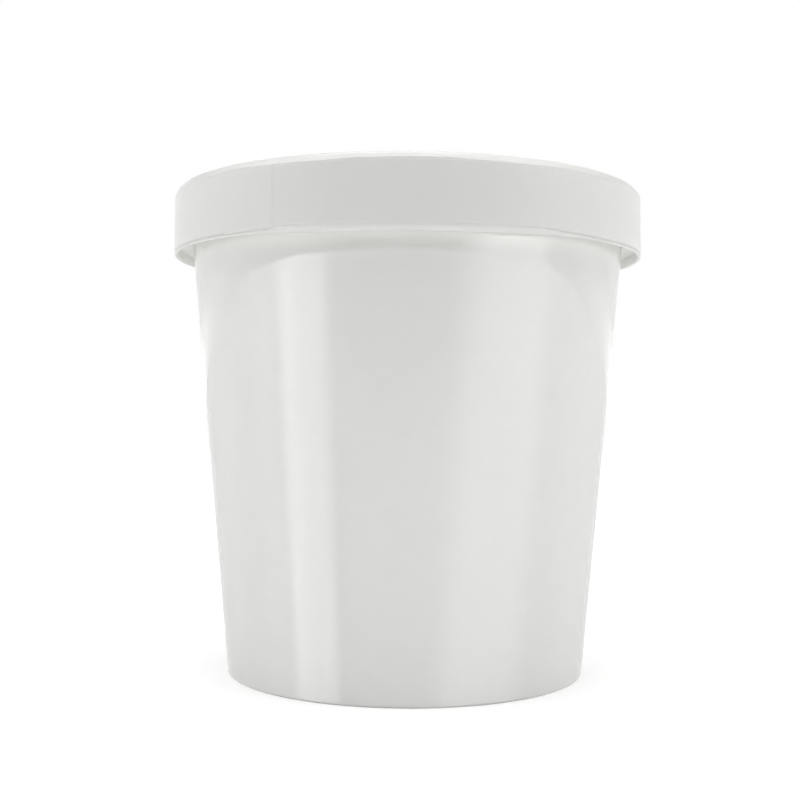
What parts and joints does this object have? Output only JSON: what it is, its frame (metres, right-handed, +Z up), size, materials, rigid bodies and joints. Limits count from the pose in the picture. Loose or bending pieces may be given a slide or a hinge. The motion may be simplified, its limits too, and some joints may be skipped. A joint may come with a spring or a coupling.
{
  "type": "paper ice cream container",
  "caption": "Shut white paperboard ice cream tub of one pint: a tapered round cup with a deep slip-on paper lid.",
  "frame": {"origin": "middle of the foot ring's underside, the circle that the tub stands on", "axes": "+Z up along the tub's axis, from foot to lid; -Y faces the viewer of the picture, with the cut edge of the lid's glued seam 30 degrees from it towards -X"},
  "size_m": [0.102, 0.102, 0.1036],
  "materials": {
    "cup_board": "white paperboard with a semi-gloss coating",
    "base_board": "matt white paperboard",
    "lid_board": "white paperboard with a satin coating"
  },
  "bodies": {
    "root": {"cup": "cup_board", "cup_base": "base_board", "lid_ring": "lid_board", "lid_panel": "lid_board"}
  },
  "joints": []
}
